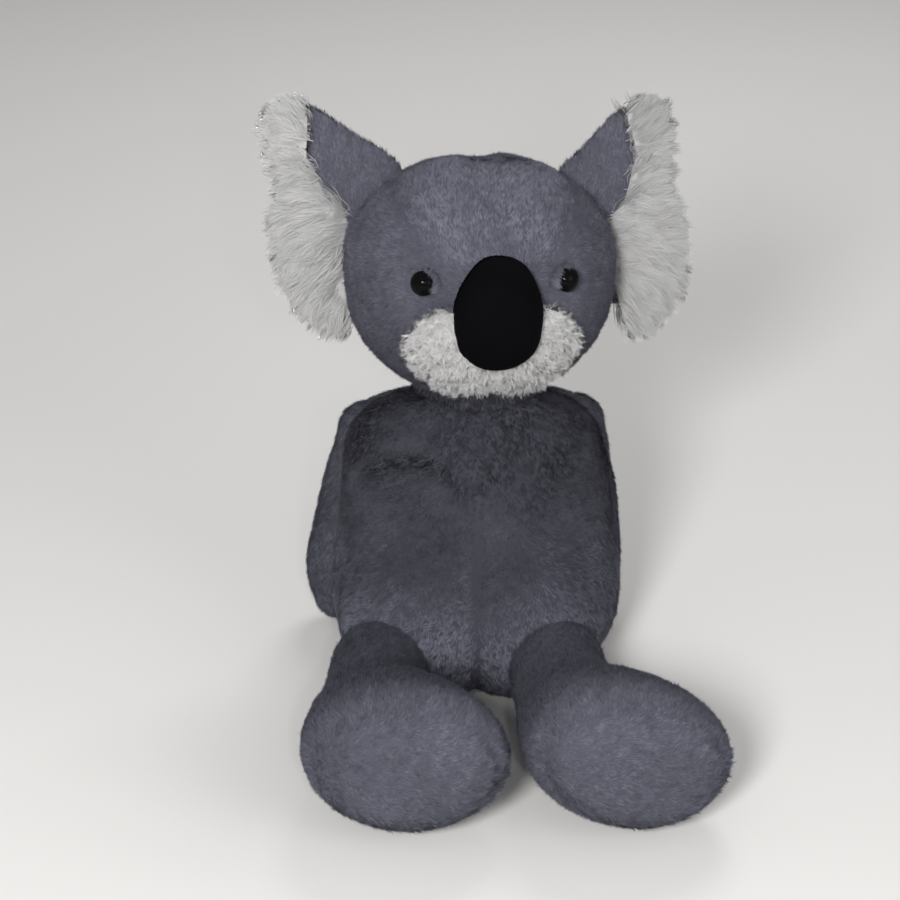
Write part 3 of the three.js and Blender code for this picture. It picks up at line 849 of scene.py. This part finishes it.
radius = neckLook["radius"]
ball = {"length": 2 * radius, "halfWidth": radius, "halfDepth": radius, "widthShares": [1, 1],
        "depthShares": [1, 1], "roundStart": 2, "roundEnd": 2}
neckSkin = moved(stuffedForm(ball, 0.0, rings=50, sides=90), {**worldPlace, "at": neck - [0, 0, radius]})
neckCloth = meshPiece("neckCloth", neckSkin, paintedShadeCloth)
# the neck's pile is painted dark all over: painted shade under the chin
neckPile = growOn("neckPile", neckSkin, straight([0, -0.2, -1.0]), 15,
                  lambda spots, facing: ~(inHead(spots, -0.002) | inTorso(spots, -0.002)),
                  toneAndShadeOf=evenly(-0.58))


# Muzzle and nose: pads that crown out of the face inside a closed outline

def padSkin(curve, middle, rings, roundness, backOf, frontOf):
    # the outline shrinks to its middle in rings, over the back and then over the front; each face gives its y
    # from a place across and up and from the rise, which falls off to the edge: sqrt(1 - share^roundness)
    shares = np.sin(np.linspace(0, np.pi / 2, rings + 1))[::-1]

    def ringOn(face, share):
        x, z = (middle + (curve - middle) * share).T
        return columns(x, face(x, z, (1 - share ** roundness) ** 0.5), z)

    rows = [ringOn(backOf, share) for share in shares[1:-1][::-1]]
    rows += [ringOn(frontOf, share) for share in shares[:-1]]
    back, front = ([[middle[0], face(*middle, 1.0), middle[1]]] for face in (backOf, frontOf))
    return skinOf(np.concatenate([back, *rows, front]), *ringFaces(len(rows) + 1, len(curve)))


def facePad(curve, pad, rings, roundness, lift, floor):
    return padSkin(curve, curve.mean(axis=0), rings, roundness, lambda x, z, rise: faceDepth(x, z) + floor,
                   lambda x, z, rise: faceDepth(x, z) - lift - pad * rise)


pressedPile = 0.0005  # the pads are this much thinner than their limits, for the pile on them
muzzleSkin = facePad(muzzleCurve, muzzleLook["pad"] - pressedPile, rings=26, roundness=3.0, lift=0.0,
                     floor=0.0035)
middleFall = bump(muzzleSkin["points"][:, 0], 0.003) * (muzzleSkin["points"][:, 2] < -0.024)
muzzleSkin = pressed(muzzleSkin, 0.0014 * middleFall + 0.0007 * ripple(muzzleSkin["points"], 6, 0.007))
muzzleSkin = moved(muzzleSkin, headPlace)
muzzleCloth = meshPiece("muzzleCloth", muzzleSkin, whiteCloth)
whitePileLook = {
    "perArea": 1.1e6, "perClump": 7, "length": 0.0046, "width": 0.00024, "segments": 2, "sway": 1.3,
    "lean": 0.85, "leanSpread": 0.3, "uneven": 0.4, "clumpRadius": 0.0006, "gather": 0.8, "stray": 0.12,
    "rise": -0.3, "softness": 0.6, "clumpTone": 0.14, "bladeTone": 0.08, "patchTone": 0.16,
    "patchSize": 0.006,
}


def muzzleNap(local):
    return unit(local - [0, -0.04, -0.008]) - [0, 0, 0.15] + 0.3 * stirred(local, 41, 0.02)


def muzzleShown(spots, facing):
    local = toLocal(spots, headPlace)
    outward = (facing @ headPlace["turn"])[:, 1] < 0.3
    return outward & ~inNose(local, 0.98)


muzzlePile = growOn("muzzlePile", muzzleSkin, muzzleNap, 13, muzzleShown, headPlace,
                    look=whitePileLook, material=whitePile)

noseSkin = facePad(noseCurve, noseLook["depth"] - pressedPile, rings=30, roundness=4.2, lift=0.0005,
                   floor=0.001)
noseSkin = moved(noseSkin, headPlace)
noseCloth = meshPiece("noseCloth", noseSkin, blackCloth)
nosePileLook = {
    **greyPileLook, "perArea": 2.2e6, "perClump": 3, "length": 0.0012, "width": 0.0002, "clumpRadius": 0.0004,
    "sink": 0.0001, "lean": 1.1,
}
nosePile = growOn("nosePile", noseSkin, straight([0.2, 0, -1.0]), 14,
                  lambda spots, facing: (facing @ headPlace["turn"])[:, 1] < 0.1,
                  look=nosePileLook, material=blackPile)
print("muzzle and nose made")


# Eyes: one turned piece each, a dome on its shank

def makeEye(name, sign):
    e = eyeLook
    back, angle = -0.0004, np.linspace(0, np.pi / 2, 25)[1:-1]
    rim = [[0, -e["shankLength"]], [e["shankRadius"], -e["shankLength"]], [e["shankRadius"], back],
           [e["radius"] * 0.9, back], [e["radius"], 0.0]]
    dome = columns(e["radius"] * np.cos(angle), e["dome"] * np.sin(angle))
    wide, height = np.concatenate([rim, dome, [[0, e["dome"]]]]).T
    skin = ringSkin(wide, wide, 0 * wide, 0 * wide, height, 0 * wide, sides=56)
    reach = 1 - (e["aside"] / headLook["halfWidth"]) ** 2 - (2 * e["above"] / headLook["length"]) ** 2
    # the dome's axis, Z of the profile, points out of the face and is turned outwards by the squint
    out = np.array([sign * math.sin(e["squint"]), -math.cos(e["squint"]), 0])
    across = np.cross([0, 0, 1.0], out)
    front = -headLook["halfDepth"] * math.sqrt(reach)
    holder = {"turn": columns(across, np.cross(out, across), out),
              "at": np.array([sign * e["aside"], front + e["sunk"], e["above"]])}
    return meshPiece(name, moved(moved(skin, holder), headPlace), eyeGloss)


rightEye, leftEye = makeEye("rightEye", -1), makeEye("leftEye", 1)
browLook = {
    **greyPileLook, "perClump": 9, "length": 0.0052, "width": 0.00026, "segments": 2, "lean": 0.72,
    "leanSpread": 0.12, "clumpRadius": 0.0005, "sink": 0.0006, "wander": 0.0, "sway": 0.16,
    "count": 80, "darker": -0.22, "near": 0.0042, "far": 0.0062,
}


def makeBrow(name, sign, seed):
    # tufts rooted on an arc round the inner and upper side of the eye, which lie over its rim
    rng = np.random.default_rng(seed)
    count = browLook["count"]
    angle = np.radians(rng.uniform(92, 205, count))
    reach = rng.uniform(browLook["near"], browLook["far"], count)
    x = sign * (eyeLook["aside"] + reach * np.cos(angle))
    z = eyeLook["above"] + reach * np.sin(angle)
    spots = columns(x, faceDepth(x, z) + pileInset, z)
    halves = np.array([headLook["halfWidth"], headLook["halfDepth"], headLook["length"] / 2])
    facing = unit(spots / halves ** 2)
    nap = columns(-sign * np.cos(angle), 0, -np.sin(angle) - 0.3)
    turn = headPlace["turn"].T
    blades = growPile(toWorld(spots, headPlace), facing @ turn, nap @ turn, browLook, rng, np.ones(count),
                      np.full(count, browLook["darker"]))
    return pilePiece(name, blades, greyPile)


brows = [makeBrow("rightBrow", -1, 91), makeBrow("leftBrow", 1, 92)]
print("eyes made")


# Ears

earLook = {
    "reach": 0.055, "height": 0.076, "backFaces": (-0.004, 0.006), "furFaces": (-0.010 + 0.003, -0.001),
    "back": [(-0.06, 0.44), (0.37, 0.5), (0.75, 0.52), (0.84, 0.37), (0.56, 0.04),
             (0.51, -0.13), (0.24, -0.32), (-0.09, -0.34), (-0.22, -0.13), (-0.22, 0.2)],
    "fur": [(0.65, 0.35), (0.75, 0.52), (0.95, 0.52), (1, 0.37), (0.71, 0.04), (0.69, -0.11),
            (0.35, -0.41), (0.15, -0.47), (-0.2, -0.46), (-0.1, -0.2), (0.15, 0.1), (0.35, 0.16)],
    "tilt": {"right": math.radians(26), "left": math.radians(37)}, "sweep": math.radians(6),
}


def earCurve(sign, shares):
    return closedCurve(shares, 140) * [sign * earLook["reach"], earLook["height"]]


def earPad(sign, shares, front, back, shrink):
    # both faces bow out from the edge midway between front and back
    curve = earCurve(sign, shares)
    middle = curve.mean(axis=0)
    away = unit(curve - middle)
    outward = np.clip(0.35 + away @ [sign * 0.9, -0.4], 0, 1)[:, None]
    curve = curve - away * (0.001 + (shrink - 0.001) * outward)
    level, half = (front + back) / 2, (back - front) / 2
    skin = padSkin(curve, middle, 22, 2.6, lambda x, z, rise: level + half * rise,
                   lambda x, z, rise: level - half * rise)
    if skinVolume(skin) < 0:  # the mirrored outline turned the faces round
        skin = skinOf(skin["points"], skin["quads"][:, ::-1], skin["tris"][:, ::-1])
    return skin


def skinVolume(skin):
    a, b, c = (skin["points"][skin["allTris"][:, k]] for k in range(3))
    return (np.cross(a, b) * c).sum() / 6


earHairLook = {
    "perArea": 0.3e6, "perClump": 20, "length": 0.018, "width": 0.00026, "segments": 3, "taper": 0.5,
    "sway": 0.32, "lean": 1.2, "leanSpread": 0.18, "clumpRadius": 0.0013, "sink": 0.0008, "gather": 0.75,
    "rise": 0.6, "softness": 0.5, "clumpTone": 0.24, "bladeTone": 0.14, "patchTone": 0.16,
    "patchSize": 0.014, "sag": 0.08, "shortest": 0.0065, "tone": {"right": -0.3, "left": -0.5},
}


def makeEar(side, sign):
    turn = headPlace["turn"] @ turned(0, -sign * earLook["tilt"][side], sign * earLook["sweep"])
    place = {"turn": turn, "at": anchorOf(side + "_ear_flex")}
    backSkin = moved(earPad(sign, earLook["back"], *earLook["backFaces"], shrink=0.0015), place)
    furSkin = moved(earPad(sign, earLook["fur"], *earLook["furFaces"], shrink=0.006), place)
    backCloth = meshPiece(side + "EarCloth", backSkin, greyCloth)
    furCloth = meshPiece(side + "EarLining", furSkin, whiteCloth)
    furCurve = earCurve(sign, earLook["fur"])

    def backShown(spots, facing):
        local = toLocal(spots, place)
        covered = insideCurve(local[:, 0], local[:, 2], furCurve * 0.97) & ((facing @ turn)[:, 1] < 0)
        return ~covered & ~inHead(spots, -0.002)

    def hairNap(local):
        # the locks point outwards at the tip of the ear and turn down towards its bottom
        height = local[:, 2] / earLook["height"]
        fall = np.radians(np.interp(height, [-0.45, -0.2, 0.04, 0.3, 0.5], [85, 62, 36, 6, -14]))
        return columns(sign * np.cos(fall), 0, -np.sin(fall))

    def hairScale(local):
        # a lock ends a little beyond the outline, measured in steps along its nap
        step, longest = 0.001, earHairLook["length"]
        way = unit(hairNap(local)[:, [0, 2]])[:, None, :]
        ends = local[:, None, [0, 2]] + way * (np.arange(1, 25) * step)[:, None]
        inside = insideCurve(ends[..., 0].ravel(), ends[..., 1].ravel(), furCurve).reshape(len(local), -1)
        return np.clip(inside.sum(axis=1) * step + step, earHairLook["shortest"], longest) / longest

    backPile = growOn(side + "EarPile", backSkin, straight([sign * 0.5, 0, 0.7]), 20 + sign, backShown, place)
    hairLook = {**earHairLook, "axis": turn @ [0, 1.0, 0]}
    # the ear hair is painted darker than the muzzle, the left ear more than the right: painted shade
    hair = growOn(side + "EarHair", furSkin, hairNap, 30 + sign,
                  lambda spots, facing: ~inHead(spots, 0.0), place, hairScale,
                  evenly(earHairLook["tone"][side]), look=hairLook, material=whitePile)
    for piece in (backCloth, furCloth, *backPile, *hair):
        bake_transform(piece)
    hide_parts(side + "_ear_back")
    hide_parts(side + "_ear_fur")


for side, sign in sides.items():
    makeEar(side, sign)
print("ears made")


# Arms

armLook = {
    "length": 0.08, "halfWidth": 0.018, "halfDepth": 0.0185,
    "widthShares": [0.74, 0.86, 0.96, 1, 0.97], "depthShares": [0.72, 0.86, 0.96, 1, 0.96],
    "roundStart": 12, "roundEnd": 2.4, "root": 0.0135, "back": math.radians(-12),
    "out": {"right": math.radians(10), "left": math.radians(4)},
}


def hang(pieces):
    # each of a limb's pieces has its place put into its points
    for piece in pieces:
        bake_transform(piece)


def makeArm(side, sign):
    turn = turned(math.pi + armLook["back"], sign * armLook["out"][side])
    place = {"turn": turn, "at": anchorOf(side + "_shoulder")}
    skin = limbForm(armLook, rootRings=14, rings=70, sides=90)
    seam = bump(skin["points"][:, 1], 0.002)
    skin = moved(pressed(skin, 0.0009 * seam + 0.0007 * ripple(skin["points"], 7, 0.025)), place)
    cloth = meshPiece(side + "ArmCloth", skin, paintedShadeCloth)

    def nap(spots):
        return (np.array([0, 0.2, 1.0]) + 0.3 * stirred(spots, 51, 0.04)) @ turn.T

    def shown(spots, facing):
        return ~(inTorso(spots, -limbOverlap) | inHead(spots, 0))

    # the arm's pile is painted darker all over: painted shade at the body's sides
    pile = growOn(side + "ArmPile", skin, nap, 60 + sign, shown, toneAndShadeOf=evenly(-0.25))
    hang([cloth, *pile])
    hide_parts(side + "_arm_skin")


for side, sign in sides.items():
    makeArm(side, sign)
print("arms made")


# Legs and soles

legLook = {
    "length": 0.104, "halfWidth": 0.039, "halfDepth": 0.0295,
    "widthShares": [0.5, 0.52, 0.62, 0.86, 1, 0.98], "depthShares": [0.63, 0.65, 0.73, 0.89, 1, 0.98],
    "sideShares": [0, 0, 0.07, 0.24, 0.34, 0.36], "riseShares": [0.02, 0.04, 0.09, 0.22, 0.32, 0.32],
    "roundStart": 12, "roundEnd": 4.5, "root": 0.019, "soleDepth": 0.011,
    "splays": {"right": math.radians(2), "left": math.radians(6)},
    "rolls": {"right": 0.0, "left": math.radians(-14)},
}


def makeLeg(side, sign):
    place = {"turn": turned(math.pi / 2, sign * legLook["splays"][side]), "at": anchorOf(side + "_hip")}
    form = {**legLook, "roll": legLook["rolls"][side]}
    skin = limbForm(form, rootRings=18, rings=100, sides=130)
    points = skin["points"]
    edge = bump(points[:, 2] - (form["length"] - form["soleDepth"]), 0.003)
    # nine puckers run in to the tip of the toe
    toe = np.array([form["halfWidth"] * 1.3, 0.004, form["length"] - 0.012])
    angle = np.arctan2(points[:, 1] - toe[1], points[:, 2] - toe[2])
    amount = 0.0005 * edge + 0.0009 * bump(farFrom(points, toe), 0.014) * np.cos(angle * 9)
    amount += 0.0005 * ripple(points, 8, 0.03) + 0.0002 * ripple(points, 17, 0.009)
    skin = moved(pressed(skin, np.minimum(amount, deepestPress)), place)
    skin["points"][:, 2] = np.maximum(skin["points"][:, 2], lowestCloth)
    skin = withNormals(skin)
    cloth = meshPiece(side + "LegCloth", skin, greyCloth)

    def nap(local):
        sole = ramp(local[:, 2] - form["length"] + 0.012, 0.006)[:, None]
        out = (1 - sole) * np.array([0.15, 0, -1.0]) + sole * np.array([0.9, 0.35, -0.1])
        return out + 0.35 * stirred(local, 71, 0.04)

    def shown(spots, facing):
        return ~inTorso(spots, -limbOverlap) & (facing[:, 2] > underside)

    def toneAndShadeOf(local):
        # painted shade along the top of the leg, darkest towards the root, with the sole left lighter
        return -0.1 - 0.24 * ramp(form["length"] - 0.008 - local[:, 2], 0.02)

    pile = growOn(side + "LegPile", skin, nap, 80 + sign, shown, place, toneAndShadeOf=toneAndShadeOf, parts=2)
    hang([cloth, *pile])
    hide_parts(side + "_leg_skin", side + "_sole")


for side, sign in sides.items():
    makeLeg(side, sign)
print("legs made")


# What rides on what

riders = [
    ("torso", "grey_plush", [torsoCloth, *torsoPile]),
    ("neck", "grey_plush", [neckCloth, *neckPile]),
    ("head", "grey_plush", [headCloth, *headPile, *brows]),
    ("head", "white_plush", [muzzleCloth, *muzzlePile]),
    ("head", "nose_velour", [noseCloth, *nosePile]),
    ("head", "eye_gloss", [rightEye, leftEye]),
]
for body, slot, pieces in riders:
    for piece in pieces:
        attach(piece, body)
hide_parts("torso_skin")
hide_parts("head_skin")
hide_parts("muzzle_patch")
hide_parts("nose_cover")
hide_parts("right_eye")
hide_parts("left_eye")


# Studio: a pale floor that sweeps up behind, soft lamps and the camera

def makeFloor():
    # a flat floor that bends up into a backdrop along a quarter circle
    reach, bend, depth, height = 3.0, 0.6, 1.6, 2.2
    angle = np.linspace(0, math.pi / 2, 24)
    y = np.concatenate([[-reach], depth + bend * np.sin(angle), [depth + bend]])
    z = np.concatenate([[0], bend * (1 - np.cos(angle)), [height]])
    left = columns(-reach, y, z)
    points = np.concatenate([left, left * [-1, 1, 1]])
    n = len(y)
    k = np.arange(n - 1)
    quads = columns(k, k + n, k + n + 1, k + 1)
    material = newMaterial("paleFloor", 0.9, (0.66, 0.65, 0.63), 0)[0]
    floor = meshPiece("floor", skinOf(points, quads, np.zeros((0, 3), int)), material)


makeFloor()


def areaLamp(name, at, aim, size, power):
    lamp = bpy.data.lights.new(name, "AREA")
    lamp.shape = "DISK"
    lamp.size = size
    lamp.energy = power
    holder = inScene(name, lamp)
    holder.location = at
    away = np.array(at) - np.array(aim)
    down = math.acos(away[2] / np.linalg.norm(away))
    holder.rotation_euler = (down, 0, math.atan2(away[1], away[0]) + math.pi / 2)


areaLamp("keyLamp", (-0.3, -1.15, 0.66), (0, 0, 0.1), 0.3, 19)
areaLamp("fillLamp", (0.9, -0.8, 0.5), (0, 0, 0.1), 0.8, 4)
areaLamp("backLamp", (0.2, 0.9, 1.1), (0, 0, 0.12), 0.6, 6)
areaLamp("glintLamp", (0.06, -1.0, 0.52), (0, 0, 0.12), 0.05, 1.6)

world = bpy.data.worlds.new("studio")
bpy.context.scene.world = world
world.use_nodes = True
sky = world.node_tree.nodes["Background"]
sky.inputs["Color"].default_value = (0.95, 0.96, 1, 1)
sky.inputs["Strength"].default_value = 0.34

cameraLook = {"down": math.radians(24), "far": 1.0, "aim": (-0.0131, 0.0526, 0.079), "lens": 101.2}
lens = bpy.data.cameras.new("camera")
lens.sensor_width = 36
lens.lens = cameraLook["lens"]
camera = inScene("camera", lens)
down = cameraLook["down"]
back = np.array([0, -math.cos(down), math.sin(down)])
camera.location = np.array(cameraLook["aim"]) + back * cameraLook["far"]
camera.rotation_euler = (math.pi / 2 - down, 0, 0)
bpy.context.scene.camera = camera
bpy.context.scene.view_settings.view_transform = "Standard"
print("studio made")
